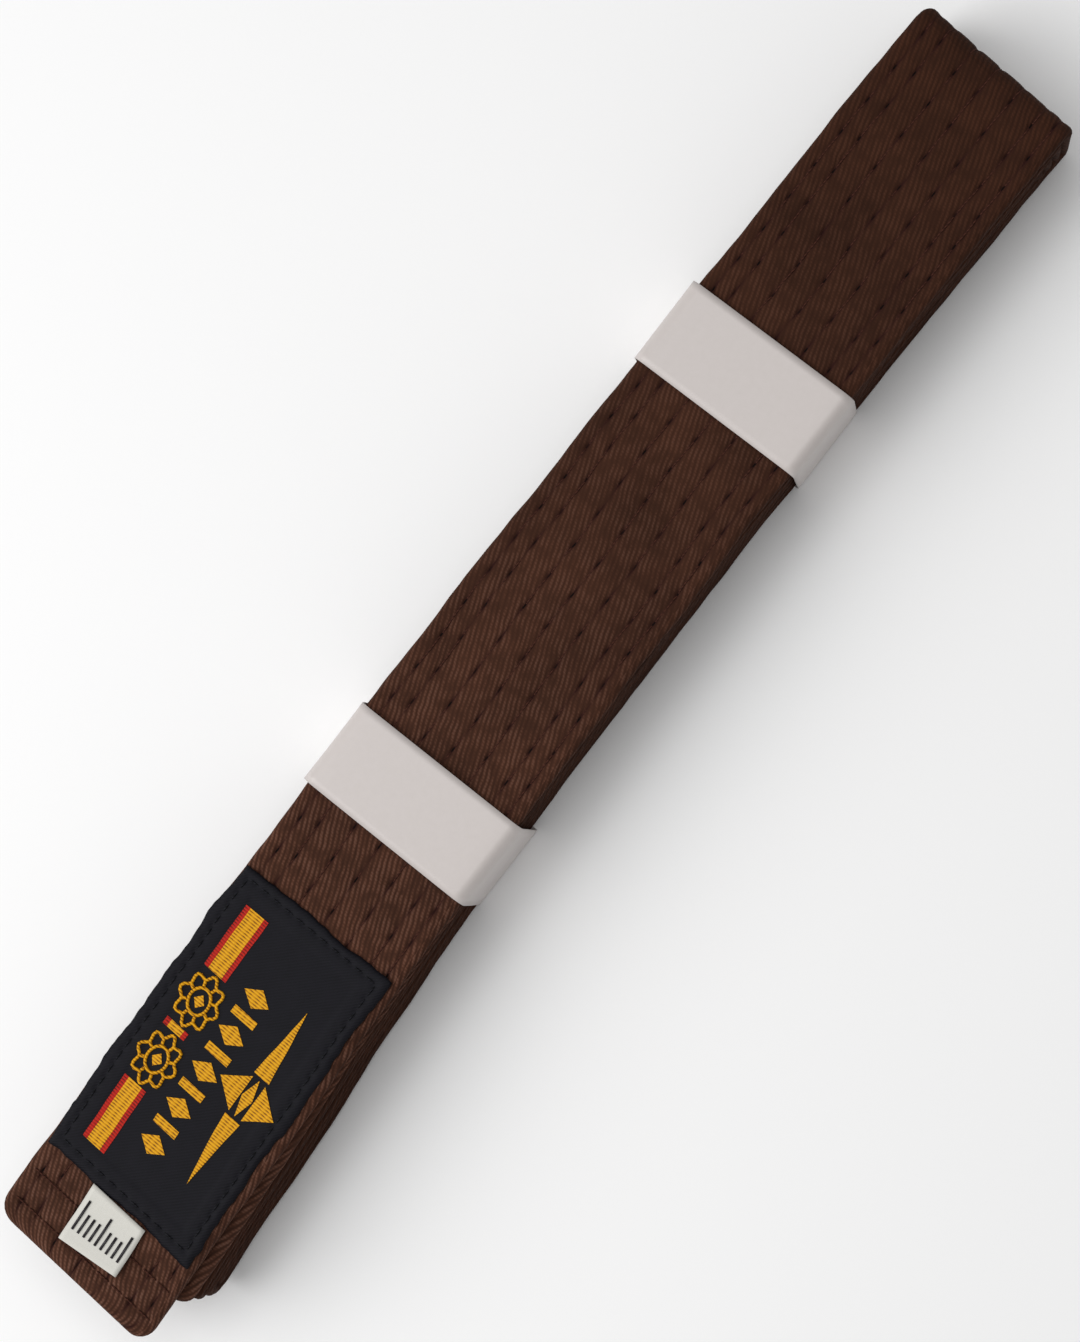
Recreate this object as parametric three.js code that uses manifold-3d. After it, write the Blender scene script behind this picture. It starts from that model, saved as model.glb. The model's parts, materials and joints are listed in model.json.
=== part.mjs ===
// A cotton martial arts belt, folded flat into a bundle of eight layers and held by two paper bands.
// Millimetres, +Z up. The belt runs along X with its label end at -X and the bundle's far folds at +X.
// The origin is at the middle of the underside, on the surface that the two bands rest on.
import * as THREE from 'three';
import { mergeVertices } from 'three/addons/utils/BufferGeometryUtils.js';
import Module from 'manifold-3d';

const wasm = await Module();
wasm.setup();

// The belt strip: a twill cover folded round two core plies.
const BELT_WIDTH = 39;
const LAYER_THICKNESS = 2.7;
const COVER_WALL = 0.55;
const PLY_THICKNESS = 0.5;
const PLY_SIDE_GAP = 0.8;
const SEAM_SLIT = 0.3;

// The bundle: the strip folded in half three times.
const BUNDLE_LENGTH = 307;
const LAYER_COUNT = 8;
const LAYER_GAP = 0.3;
const FOLD_CORNER = 4.3;
const FOLD_STEPS = 3;
const NEAR_FOLD_SETBACK = 12;
const PLAIN_END_SETBACK = 10;

// The loose ends, which lift about a line beside the near band.
const HINGE_TO_BAND = 5;
const CUT_GAP = 0.3;
const END_CORNER = 4;
const END_TUCK = 4.2;

// Stitching: seven lengthwise rows, and two hem rows across each end.
const EDGE_ROW_INSET = 3.2;
const INNER_ROW_INSET = 7;
const INNER_ROW_COUNT = 5;
const CHANNEL_WIDTH = 0.9;
const CHANNEL_DEPTH = 0.4;
const THREAD_WIDTH = 0.4;
const THREAD_DEPTH = 0.18;
const HEM_ROWS = [4.9, 11.7];
const ROW_TO_HEM = 2;

// The woven label, its hem and its stitching.
const LABEL_LENGTH = 69.7;
const LABEL_FROM_END = 18.1;
const LABEL_LEFT_MARGIN = 0.2;
const LABEL_RIGHT_MARGIN = 1.6;
const LABEL_PLY = 0.3;
const LABEL_HEM_DEPTH = 0.3;
const LABEL_HEM_WIDTH = 5;
const LABEL_LIFT = 0.2;
const LABEL_STITCH_INSET = 2.2;
const LABEL_STITCH_WIDTH = 0.45;
const LABEL_STITCH_DEPTH = 0.2;
const LABEL_STITCH_GAP = 0.1;

// The size tag: a tape folded double, held under the label's near edge.
const TAG_WIDTH = 13.6;
const TAG_LENGTH = 11.8;
const TAG_FROM_LEFT = 12.9;
const TAG_PLY = 0.25;
const TAG_PLY_GAP = 0.3;
const TAG_LIFT = 0.4;
const TAG_CLEARANCE = 0.3;

// The paper bands, each closed by a lap inside its underside.
const BAND_WIDTH = 19.5;
const BAND_PAPER = 0.4;
const BAND_CLEARANCE = 0.3;
const BAND_CORNER = 0.9;
const LAP_LENGTH = 18;
const LAP_PAPER = 0.25;
const LAP_GAP = 0.1;
const NEAR_BAND_FROM_END = 108.5;
const FAR_BAND_FROM_END = 216.5;

// How finely a corner's arc is cut, and how far a cutting tool reaches past what it cuts.
const CORNER_STEPS = 3;
const CUT_MARGIN = 1;

// Places worked out from the sizes above.
const pitch = LAYER_THICKNESS + LAYER_GAP;
const halfWidth = BELT_WIDTH / 2;
const halfLayer = LAYER_THICKNESS / 2;
const labelEndX = -BUNDLE_LENGTH / 2;
const farEndX = BUNDLE_LENGTH / 2;
const hingeX = labelEndX + NEAR_BAND_FROM_END - HINGE_TO_BAND;
const bandFloor = BAND_PAPER + LAP_GAP + LAP_PAPER;
const bundleBottom = bandFloor + BAND_CLEARANCE;
const bundleTop = bundleBottom + LAYER_COUNT * LAYER_THICKNESS + (LAYER_COUNT - 1) * LAYER_GAP;
const plyClearance = (LAYER_THICKNESS - 2 * COVER_WALL - 2 * PLY_THICKNESS) / 3;
const plyOffset = (PLY_THICKNESS + plyClearance) / 2;
const cutX = hingeX - CUT_GAP;
const rowStart = HEM_ROWS.at(-1) + ROW_TO_HEM;
const hemReach = halfWidth - CUT_GAP;
const labelNearX = labelEndX + LABEL_FROM_END;
const labelFarX = labelNearX + LABEL_LENGTH;
const labelLeftY = halfWidth - LABEL_LEFT_MARGIN;
const labelRightY = -halfWidth + LABEL_RIGHT_MARGIN;

// Layers are counted from the top, as 1 to LAYER_COUNT.
const layerZ = (layer) => bundleTop - halfLayer - (layer - 1) * pitch;

const rowPositions = stitchRowPositions();

const twill = new THREE.MeshStandardMaterial({ color: 0x4a2e22, roughness: 0.9, metalness: 0 });
const cotton = new THREE.MeshStandardMaterial({ color: 0xd8cdb8, roughness: 0.95, metalness: 0 });
const brownThread = new THREE.MeshStandardMaterial({ color: 0x35201a, roughness: 0.8, metalness: 0 });
const satin = new THREE.MeshStandardMaterial({ color: 0x1e1d24, roughness: 0.6, metalness: 0 });
const blackThread = new THREE.MeshStandardMaterial({ color: 0x121216, roughness: 0.7, metalness: 0 });
const tape = new THREE.MeshStandardMaterial({ color: 0xdad8d0, roughness: 0.7, metalness: 0 });
const paper = new THREE.MeshStandardMaterial({ color: 0xf0eeea, roughness: 0.45, metalness: 0 });

// Places of the lengthwise rows across the belt, from its right edge to its left.
function stitchRowPositions() {
  const outer = halfWidth - EDGE_ROW_INSET;
  const inner = halfWidth - INNER_ROW_INSET;
  const step = (2 * inner) / (INNER_ROW_COUNT - 1);
  const middle = Array.from({ length: INNER_ROW_COUNT }, (_, i) => -inner + i * step);
  return [-outer, ...middle, outer];
}

// A flat path in the XZ plane that takes one step for each of its stations.
class StationPath extends THREE.Curve {
  constructor(stations) {
    super();
    this.stations = stations;
  }

  getSpacedPoints() {
    return this.stations.map((station) => station.point);
  }

  getTangentAt(share) {
    return this.stations[Math.round(share * (this.stations.length - 1))].tangent.clone();
  }
}

// Stations along a run of straight lines whose upright steps join level ones by rounded corners.
function roundedStations(corners) {
  const stations = [];
  const addStation = (point, tangent) => {
    const last = stations.at(-1);
    if (!last || last.point.distanceTo(point) > 1e-6) stations.push({ point, tangent });
  };
  corners.forEach((corner, i) => {
    const before = corners[i - 1];
    const after = corners[i + 1];
    const incoming = (before ? corner.clone().sub(before) : after.clone().sub(corner)).normalize();
    const outgoing = (after ? after.clone().sub(corner) : corner.clone().sub(before)).normalize();
    if (!before || !after) {
      addStation(corner, incoming);
      return;
    }
    const upright = Math.max(Math.abs(corner.z - before.z), Math.abs(after.z - corner.z));
    const radius = Math.min(FOLD_CORNER, upright / 2);
    const centre = corner.clone().addScaledVector(incoming, -radius).addScaledVector(outgoing, radius);
    for (let step = 0; step <= FOLD_STEPS; step++) {
      const angle = (step / FOLD_STEPS) * (Math.PI / 2);
      const point = centre.clone();
      point.addScaledVector(outgoing, -radius * Math.cos(angle));
      point.addScaledVector(incoming, radius * Math.sin(angle));
      const tangent = outgoing.clone().multiplyScalar(Math.sin(angle));
      tangent.addScaledVector(incoming, Math.cos(angle));
      addStation(point, tangent);
    }
  });
  return stations;
}

// The belt's centre line through the bundle, from the label end's hinge to the plain end's.
function bundleStations() {
  const farFoldX = (depth) => farEndX - halfLayer - depth * pitch;
  const nearFoldX = (depth) => labelEndX + NEAR_FOLD_SETBACK + halfLayer + depth * pitch;
  const at = (x, layer) => new THREE.Vector3(x, 0, layerZ(layer));
  return roundedStations([
    at(hingeX, 1),
    at(farFoldX(0), 1), at(farFoldX(0), 8),
    at(nearFoldX(0), 8), at(nearFoldX(0), 5),
    at(farFoldX(3), 5), at(farFoldX(3), 4),
    at(nearFoldX(0), 4), at(nearFoldX(0), 3),
    at(farFoldX(2), 3), at(farFoldX(2), 6),
    at(nearFoldX(1), 6), at(nearFoldX(1), 7),
    at(farFoldX(1), 7), at(farFoldX(1), 2),
    at(hingeX, 2),
  ]);
}

// A section given as places across the belt and heights above its middle, towards the label side,
// carried along the path. The swept shape's first axis runs against the height.
function sweep(section, stations) {
  const shape = new THREE.Shape(section.map(([across, height]) => new THREE.Vector2(-height, across)));
  const extrudePath = new StationPath(stations);
  return new THREE.ExtrudeGeometry(shape, { steps: stations.length - 1, extrudePath });
}

// The cover: a tube with a slit where its edges meet, and a channel along each row of stitching.
function coverSection() {
  const innerHalfWidth = halfWidth - COVER_WALL;
  const innerHeight = halfLayer - COVER_WALL;
  const slit = SEAM_SLIT / 2;
  const channels = rowPositions.flatMap((across) => [
    [across - CHANNEL_WIDTH / 2, halfLayer],
    [across, halfLayer - CHANNEL_DEPTH],
    [across + CHANNEL_WIDTH / 2, halfLayer],
  ]);
  return [
    [-halfWidth, slit], [-halfWidth, halfLayer],
    ...channels,
    [halfWidth, halfLayer], [halfWidth, -halfLayer],
    [-halfWidth, -halfLayer], [-halfWidth, -slit],
    [-innerHalfWidth, -slit], [-innerHalfWidth, -innerHeight],
    [innerHalfWidth, -innerHeight], [innerHalfWidth, innerHeight],
    [-innerHalfWidth, innerHeight], [-innerHalfWidth, slit],
  ];
}

function plySection(offset) {
  const reach = halfWidth - COVER_WALL - PLY_SIDE_GAP;
  const low = offset - PLY_THICKNESS / 2;
  const high = offset + PLY_THICKNESS / 2;
  return [[-reach, low], [-reach, high], [reach, high], [reach, low]];
}

function threadSection(across) {
  return [
    [across - THREAD_WIDTH / 2, halfLayer],
    [across + THREAD_WIDTH / 2, halfLayer],
    [across, halfLayer - THREAD_DEPTH],
  ];
}

function addPiece(group, name, geometry, material) {
  const mesh = new THREE.Mesh(geometry, material);
  mesh.name = name;
  group.add(mesh);
}

// A closed geometry as a solid that can be joined and cut.
function toSolid(geometry) {
  const bare = geometry.clone();
  bare.deleteAttribute('normal');
  bare.deleteAttribute('uv');
  const merged = mergeVertices(bare);
  const vertProperties = new Float32Array(merged.attributes.position.array);
  const triVerts = new Uint32Array(merged.index.array);
  return new wasm.Manifold(new wasm.Mesh({ numProp: 3, vertProperties, triVerts }));
}

function toGeometry(solid) {
  const mesh = solid.getMesh();
  const geometry = new THREE.BufferGeometry();
  geometry.setAttribute('position', new THREE.BufferAttribute(mesh.vertProperties, 3));
  geometry.setIndex(new THREE.BufferAttribute(mesh.triVerts, 1));
  return geometry;
}

function cut(geometry, tools) {
  const remaining = tools.reduce((solid, tool) => solid.subtract(toSolid(tool)), toSolid(geometry));
  return toGeometry(remaining);
}

// A box between two corners.
function boxBetween(low, high) {
  const size = high.map((value, i) => value - low[i]);
  const middle = high.map((value, i) => (value + low[i]) / 2);
  return new THREE.BoxGeometry(...size).translate(...middle);
}

// An outline in Y and Z, given a length along X.
function alongX(shape, fromX, toX) {
  const geometry = new THREE.ExtrudeGeometry(shape, { depth: toX - fromX, bevelEnabled: false });
  const turn = new THREE.Matrix4().makeBasis(
    new THREE.Vector3(0, 1, 0), new THREE.Vector3(0, 0, 1), new THREE.Vector3(1, 0, 0));
  return geometry.applyMatrix4(turn).translate(fromX, 0, 0);
}

// An outline in X and Z, given a length along Y.
function alongY(shape, fromY, toY) {
  const geometry = new THREE.ExtrudeGeometry(shape, { depth: toY - fromY, bevelEnabled: false });
  return geometry.rotateX(Math.PI / 2).translate(0, toY, 0);
}

// A thin triangle whose base lies on a face and whose point sinks below it by the depth.
function groove(middle, width, face, depth) {
  return new THREE.Shape([
    new THREE.Vector2(middle - width / 2, face),
    new THREE.Vector2(middle, face - depth),
    new THREE.Vector2(middle + width / 2, face),
  ]);
}

function roundedRectangle(low, high, radius) {
  const shape = new THREE.Shape();
  shape.moveTo(low[0] + radius, low[1]);
  shape.lineTo(high[0] - radius, low[1]);
  shape.absarc(high[0] - radius, low[1] + radius, radius, -Math.PI / 2, 0);
  shape.absarc(high[0] - radius, high[1] - radius, radius, 0, Math.PI / 2);
  shape.absarc(low[0] + radius, high[1] - radius, radius, Math.PI / 2, Math.PI);
  shape.absarc(low[0] + radius, low[1] + radius, radius, Math.PI, 1.5 * Math.PI);
  return new THREE.Shape(shape.extractPoints(CORNER_STEPS).shape);
}

function makeBundle() {
  const group = new THREE.Group();
  const stations = bundleStations();
  addPiece(group, 'bundle_cover', sweep(coverSection(), stations), twill);
  addPiece(group, 'bundle_upper_ply', sweep(plySection(plyOffset), stations), cotton);
  addPiece(group, 'bundle_lower_ply', sweep(plySection(-plyOffset), stations), cotton);
  rowPositions.forEach((across, i) => {
    addPiece(group, `bundle_stitch_row_${i + 1}`, sweep(threadSection(across), stations), brownThread);
  });
  return group;
}

// The cover of a loose end: a flat tube closed at the free end, with a channel for every thread.
function looseEndCover(freeEndX, middleZ, face, sink) {
  const beyondX = cutX + CUT_MARGIN;
  const outline = new THREE.Shape();
  outline.moveTo(cutX, halfWidth);
  outline.lineTo(freeEndX + END_CORNER, halfWidth);
  outline.absarc(freeEndX + END_CORNER, halfWidth - END_CORNER, END_CORNER, Math.PI / 2, Math.PI);
  outline.absarc(freeEndX + END_CORNER, -halfWidth + END_CORNER, END_CORNER, Math.PI, 1.5 * Math.PI);
  outline.lineTo(cutX, -halfWidth);
  const plan = new THREE.Shape(outline.extractPoints(CORNER_STEPS).shape);
  const block = new THREE.ExtrudeGeometry(plan, { depth: LAYER_THICKNESS, bevelEnabled: false });
  block.translate(0, 0, middleZ - halfLayer);

  const hollowX = freeEndX + END_TUCK;
  const innerHalfWidth = halfWidth - COVER_WALL;
  const innerHeight = halfLayer - COVER_WALL;
  const hollow = boxBetween(
    [hollowX, -innerHalfWidth, middleZ - innerHeight], [beyondX, innerHalfWidth, middleZ + innerHeight]);
  const seam = boxBetween(
    [hollowX, -halfWidth - CUT_MARGIN, middleZ - SEAM_SLIT / 2], [beyondX, 0, middleZ + SEAM_SLIT / 2]);
  const rowChannels = rowPositions.map((across) => (
    alongX(groove(across, CHANNEL_WIDTH, face, sink * CHANNEL_DEPTH), freeEndX + rowStart, beyondX)));
  const hemChannels = HEM_ROWS.map((fromEnd) => alongY(
    groove(freeEndX + fromEnd, CHANNEL_WIDTH, face, sink * CHANNEL_DEPTH),
    -halfWidth - CUT_MARGIN, halfWidth + CUT_MARGIN));
  return cut(block, [hollow, seam, ...rowChannels, ...hemChannels]);
}

// A loose end from its free edge to the hinge line, with its label side up (1) or down (-1).
function makeLooseEnd(name, layer, freeEndX, labelSide) {
  const group = new THREE.Group();
  const middleZ = layerZ(layer);
  const face = middleZ + labelSide * halfLayer;
  addPiece(group, `${name}_cover`, looseEndCover(freeEndX, middleZ, face, labelSide), twill);

  const plyReach = halfWidth - COVER_WALL - PLY_SIDE_GAP;
  const plyX = freeEndX + END_TUCK + PLY_SIDE_GAP;
  [['upper', plyOffset], ['lower', -plyOffset]].forEach(([place, offset]) => {
    const plyZ = middleZ + offset;
    const ply = boxBetween(
      [plyX, -plyReach, plyZ - PLY_THICKNESS / 2], [cutX, plyReach, plyZ + PLY_THICKNESS / 2]);
    addPiece(group, `${name}_${place}_ply`, ply, cotton);
  });

  const threadDepth = labelSide * THREAD_DEPTH;
  rowPositions.forEach((across, i) => {
    const thread = alongX(
      groove(across, THREAD_WIDTH, face, threadDepth), freeEndX + rowStart + CUT_GAP, cutX);
    addPiece(group, `${name}_stitch_row_${i + 1}`, thread, brownThread);
  });
  HEM_ROWS.forEach((fromEnd, i) => {
    const thread = alongY(
      groove(freeEndX + fromEnd, THREAD_WIDTH, face, threadDepth), -hemReach, hemReach);
    addPiece(group, `${name}_hem_row_${i + 1}`, thread, brownThread);
  });
  return group;
}

// The label: one woven ply whose four edges are turned under.
function makeLabel() {
  const group = new THREE.Group();
  const undersideZ = bundleTop + LABEL_LIFT;
  const plyZ = undersideZ + LABEL_HEM_DEPTH;
  const topZ = plyZ + LABEL_PLY;
  const plate = boxBetween([labelNearX, labelRightY, undersideZ], [labelFarX, labelLeftY, topZ]);
  const pocket = boxBetween(
    [labelNearX + LABEL_HEM_WIDTH, labelRightY + LABEL_HEM_WIDTH, undersideZ - CUT_MARGIN],
    [labelFarX - LABEL_HEM_WIDTH, labelLeftY - LABEL_HEM_WIDTH, plyZ]);
  addPiece(group, 'label', cut(plate, [pocket]), satin);

  const stitchZ = topZ + LABEL_STITCH_GAP;
  const outer = LABEL_STITCH_INSET;
  const inner = LABEL_STITCH_INSET + LABEL_STITCH_WIDTH;
  const ring = boxBetween(
    [labelNearX + outer, labelRightY + outer, stitchZ],
    [labelFarX - outer, labelLeftY - outer, stitchZ + LABEL_STITCH_DEPTH]);
  const opening = boxBetween(
    [labelNearX + inner, labelRightY + inner, stitchZ - CUT_MARGIN],
    [labelFarX - inner, labelLeftY - inner, stitchZ + CUT_MARGIN]);
  addPiece(group, 'label_stitching', cut(ring, [opening]), blackThread);
  return group;
}

// The size tag: folded at its free edge and open at the edge held by the label.
function makeSizeTag() {
  const group = new THREE.Group();
  const heldX = labelNearX - TAG_CLEARANCE;
  const foldX = heldX - TAG_LENGTH;
  const bottomZ = bundleTop + TAG_LIFT;
  const topZ = bottomZ + 2 * TAG_PLY + TAG_PLY_GAP;
  const leftY = halfWidth - TAG_FROM_LEFT;
  const profile = new THREE.Shape([
    new THREE.Vector2(heldX, bottomZ),
    new THREE.Vector2(heldX, bottomZ + TAG_PLY),
    new THREE.Vector2(foldX + TAG_PLY, bottomZ + TAG_PLY),
    new THREE.Vector2(foldX + TAG_PLY, topZ - TAG_PLY),
    new THREE.Vector2(heldX, topZ - TAG_PLY),
    new THREE.Vector2(heldX, topZ),
    new THREE.Vector2(foldX, topZ),
    new THREE.Vector2(foldX, bottomZ),
  ]);
  addPiece(group, 'size_tag', alongY(profile, leftY - TAG_WIDTH, leftY), tape);
  return group;
}

// A paper band: a ring round the bundle, and the lap that closes it inside its underside.
function makeBand(name, fromEnd) {
  const group = new THREE.Group();
  const innerY = halfWidth + BAND_CLEARANCE;
  const outerY = innerY + BAND_PAPER;
  const innerTop = bundleTop + BAND_CLEARANCE;
  const outline = roundedRectangle([-outerY, 0], [outerY, innerTop + BAND_PAPER], BAND_CORNER);
  outline.holes.push(roundedRectangle([-innerY, BAND_PAPER], [innerY, innerTop], BAND_CORNER - BAND_PAPER));
  const nearX = labelEndX + fromEnd;
  addPiece(group, `${name}_strip`, alongX(outline, nearX, nearX + BAND_WIDTH), paper);

  const lap = boxBetween(
    [nearX, -LAP_LENGTH / 2, BAND_PAPER + LAP_GAP], [nearX + BAND_WIDTH, LAP_LENGTH / 2, bandFloor]);
  addPiece(group, `${name}_lap`, lap, paper);
  return group;
}

const belt = new THREE.Group();
belt.name = 'martial_arts_belt';
belt.add(makeBundle());
belt.add(makeLooseEnd('label_end', 1, labelEndX, 1));
belt.add(makeLooseEnd('plain_end', 2, labelEndX + PLAIN_END_SETBACK, -1));
belt.add(makeLabel());
belt.add(makeSizeTag());
belt.add(makeBand('near_band', NEAR_BAND_FROM_END));
belt.add(makeBand('far_band', FAR_BAND_FROM_END));

export default belt;
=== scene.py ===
"""A brown cotton martial arts belt, folded into eight layers and held by two white paper bands."""

import json
import math

import bmesh
import bpy
from mathutils import Matrix, Vector, noise


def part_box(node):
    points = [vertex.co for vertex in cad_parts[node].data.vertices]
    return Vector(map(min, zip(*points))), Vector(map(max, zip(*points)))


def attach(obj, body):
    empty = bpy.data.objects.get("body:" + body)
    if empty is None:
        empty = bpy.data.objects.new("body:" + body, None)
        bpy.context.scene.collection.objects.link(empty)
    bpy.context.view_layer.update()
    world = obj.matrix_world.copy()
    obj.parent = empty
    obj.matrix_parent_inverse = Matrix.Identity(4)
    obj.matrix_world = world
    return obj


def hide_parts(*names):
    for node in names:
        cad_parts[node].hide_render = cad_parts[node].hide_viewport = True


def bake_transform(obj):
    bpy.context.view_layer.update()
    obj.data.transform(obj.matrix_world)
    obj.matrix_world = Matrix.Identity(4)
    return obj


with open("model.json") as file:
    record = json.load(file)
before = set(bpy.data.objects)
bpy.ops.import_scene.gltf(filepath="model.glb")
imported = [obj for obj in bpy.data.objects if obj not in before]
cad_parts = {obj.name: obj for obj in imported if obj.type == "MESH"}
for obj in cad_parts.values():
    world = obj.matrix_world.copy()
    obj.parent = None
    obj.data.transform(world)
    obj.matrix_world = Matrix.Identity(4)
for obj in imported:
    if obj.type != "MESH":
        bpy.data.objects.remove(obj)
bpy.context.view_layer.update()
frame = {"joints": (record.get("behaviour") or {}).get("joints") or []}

MM = 0.001

# Sizes and places read from the frame.
cover_low, cover_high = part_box("bundle_cover")
label_end_low, label_end_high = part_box("label_end_cover")
plain_end_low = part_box("plain_end_cover")[0]
label_low, label_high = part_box("label")
label_stitch_low, label_stitch_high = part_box("label_stitching")
tag_low, tag_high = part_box("size_tag")


def joint_place(name):
    return next(joint["pos_m"] for joint in frame["joints"] if joint["name"] == name)


LAYERS = 8
LAYER = label_end_high.z - label_end_low.z
PITCH = (cover_high.z - cover_low.z - LAYER) / (LAYERS - 1)
HALF_WIDTH = (cover_high.y - cover_low.y) / 2
TOP = cover_high.z
END_X = label_end_low.x
FAR_X = cover_high.x
NEAR_FOLD_X = cover_low.x
MIDDLE_X = (END_X + FAR_X) / 2
HALF_LENGTH = (FAR_X - END_X) / 2
HINGE = joint_place("label_end_lift")
ROWS = [sum(corner.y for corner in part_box(f"bundle_stitch_row_{i + 1}")) / 2 for i in range(7)]
HEMS = [sum(corner.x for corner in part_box(f"label_end_hem_row_{i + 1}")) / 2 - END_X for i in range(2)]

# The strip's path and section. The fine step is for faces that show, and the coarse one for the inside.
FINE = 0.6 * MM
COARSE = 14 * MM
FOLD_CORNER = 3.2 * MM
FOLD_STEPS = 6
SHORT_UPRIGHT = 0.1 * MM
EDGE_ROUND = 1.3 * MM
EDGE_ANGLES = (60, 30, 0, -30, -60)
ROW_COLUMNS_MM = (-1.1, -0.55, -0.25, 0, 0.25, 0.55, 1.1)
WIDE_GAP = 3.4 * MM
GAP_SHARES = (0.36, 0.5, 0.64)
PLAIN_COLUMNS = 8
END_CORNER = 4.0 * MM
CORNER_SHARES = (0.03, 0.08, 0.16, 0.3, 0.5, 0.75, 1.0)
THIN_EDGE = 1.4 * MM
THINNEST = 0.15
FACE_SHARE = 0.98
EDGE_FADE = 2 * MM
JOIN_X = HINGE[0] + 14 * MM

# The sewing.
STITCH = 8.0 * MM
STAGGER = 2.3 * MM
STITCH_DRIFT = 1.6 * MM
CHANNEL_DEPTH = 0.24 * MM
CHANNEL_SPREAD = 0.75 * MM
PULL_LENGTH = 2.2 * MM
HOLE_DEPTH = 0.32 * MM
HOLE_LENGTH = 0.8 * MM
HOLE_WIDTH = 0.32 * MM
NO_ROW_NEAR = 1.1 * MM
PUCKER = 0.19 * MM
UNEVEN = 0.24 * MM
HEM_CREASE = 0.42 * MM
HEM_SPREAD = 0.9 * MM
HEM_STITCH = 3.6 * MM
HEM_MARGIN = 1.5 * MM
HEM_SINK = 0.24 * MM
HEM_DIVE = 0.5 * MM
HEM_DIVE_LENGTH = 0.4 * MM
HEM_STEPS = 90
THREAD_RADIUS = 0.17 * MM
THREAD_DIVE = 0.75 * MM
THREAD_START = HEMS[1] + 1.5 * MM

# How the bundle lies. It bows sideways. Its lower layers fan out to the right towards the label end,
# and lean to the left beyond the near band. The strip is pressed wider near the label end. Both ends are
# folded a little askew, and the label end stands a little off the layers below it.
SIDE_BOW = 3.3 * MM
END_ASIDE = 0.7 * MM
END_ASIDE_LENGTH = 110 * MM
FAN = 3.0 * MM
FAN_LENGTH = 100 * MM
FAN_FROM_LAYER = 0.45
FAN_LAYERS = 1.6
LEAN = 1.7 * MM
LEAN_START, LEAN_END = END_X + 60 * MM, END_X + 160 * MM
END_SKEW = 0.05
FAR_SKEW = 0.09
SKEW_FULL = 60 * MM
SKEW_LENGTH = 40 * MM
END_LIFT = 1.0 * MM
END_LIFT_LENGTH = 90 * MM
TOP_LAYER = 0.95
EDGE_WAVER = 0.35 * MM
FINE_WAVER = 0.14 * MM
ROW_WAVER = 0.3 * MM
END_SPREAD = 0.05
SPREAD_LENGTH = 240 * MM

# The twill's wales and floats, in millimetres and degrees, and its colours. The wales' light and dark is
# painted shade and highlight in the colour, even on the far part, and stronger towards the label end.
WALE_ANGLE = 21
WALE_PITCH = 1.0
FLOAT_PITCH = 0.63
YARN_STRETCH = (0.16, 1.1, 1.0)
STRONG_TO_CALM = (90, 190)
SHEEN_LENGTH = 300
HOLE_REACH = (0.63, 0.17)
# The cloth's colour at the label end, with painted sheen, and at the far end.
TWILL_NEAR_SHEEN = "#4A2E22"
TWILL_FAR_END = "#361E13"
# Painted shade for the stitch rows and the needle holes.
ROW_SHADE = "#2C1410"
HOLE_SHADE = "#0C0504"
# A painted highlight on the floats near the label end.
FLOAT_HIGHLIGHT = "#7D6156"


def linear(code):
    """A hex colour as the linear numbers that a shader takes."""
    parts = [int(code[i:i + 2], 16) / 255 for i in (1, 3, 5)]
    return [c / 12.92 if c <= 0.04045 else ((c + 0.055) / 1.055) ** 2.4 for c in parts] + [1.0]


# A colour Mix node's two colour inputs, by their places, since its float and vector inputs share the names.
COLOUR_SOCKETS = {"A": 6, "B": 7}


def add(tree, kind, inputs=None, **settings):
    """Adds a node with its settings, and sets or links its inputs."""
    made = tree.nodes.new(kind)
    for name, value in settings.items():
        setattr(made, name, value)
    for name, value in (inputs or {}).items():
        name = COLOUR_SOCKETS.get(name, name) if kind == "ShaderNodeMix" else name
        if isinstance(value, bpy.types.NodeSocket):
            tree.links.new(value, made.inputs[name])
        else:
            made.inputs[name].default_value = value
    return made


def new_material(name):
    material = bpy.data.materials.new(name)
    material.use_nodes = True
    shader = material.node_tree.nodes["Principled BSDF"]
    return material, material.node_tree, shader


# ---------------------------------------------------------------- materials

def waves(tree, place, period_mm, direction, distortion, detail=2.0, detail_scale=2.0):
    """Dark and light bands across a direction, at a period in millimetres."""
    return add(tree, "ShaderNodeTexWave", {
        "Vector": place, "Scale": math.pi / 10 / period_mm, "Distortion": distortion, "Detail": detail,
        "Detail Scale": detail_scale}, bands_direction=direction).outputs["Fac"]


def mottle(tree, place, scale, detail, roughness=0.5):
    return add(tree, "ShaderNodeTexNoise", {
        "Vector": place, "Scale": scale, "Detail": detail, "Roughness": roughness}).outputs["Fac"]


def rescale(tree, value, source, target, kind="LINEAR"):
    """Carries a value from one range to another, and holds it at the ends."""
    return add(tree, "ShaderNodeMapRange", {
        "Value": value, "From Min": source[0], "From Max": source[1],
        "To Min": target[0], "To Max": target[1]}, interpolation_type=kind).outputs["Result"]


def product(tree, first, second):
    return add(tree, "ShaderNodeMath", {0: first, 1: second}, operation="MULTIPLY").outputs["Value"]


def product_plus(tree, first, second, third):
    return add(tree, "ShaderNodeMath", {
        0: first, 1: second, 2: third}, operation="MULTIPLY_ADD").outputs["Value"]


def tint(tree, share, first, second):
    """The first colour, taken towards the second by a share. Each is a hex code or a node's output."""
    first, second = (linear(colour) if isinstance(colour, str) else colour for colour in (first, second))
    return add(tree, "ShaderNodeMix", {
        "Factor": share, "A": first, "B": second}, data_type="RGBA").outputs[2]


def in_millimetres(tree):
    """Places on the piece, in millimetres."""
    place = add(tree, "ShaderNodeTexCoord").outputs["Object"]
    return add(tree, "ShaderNodeMapping", {"Vector": place, "Scale": (1000, 1000, 1000)}).outputs["Vector"]


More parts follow.
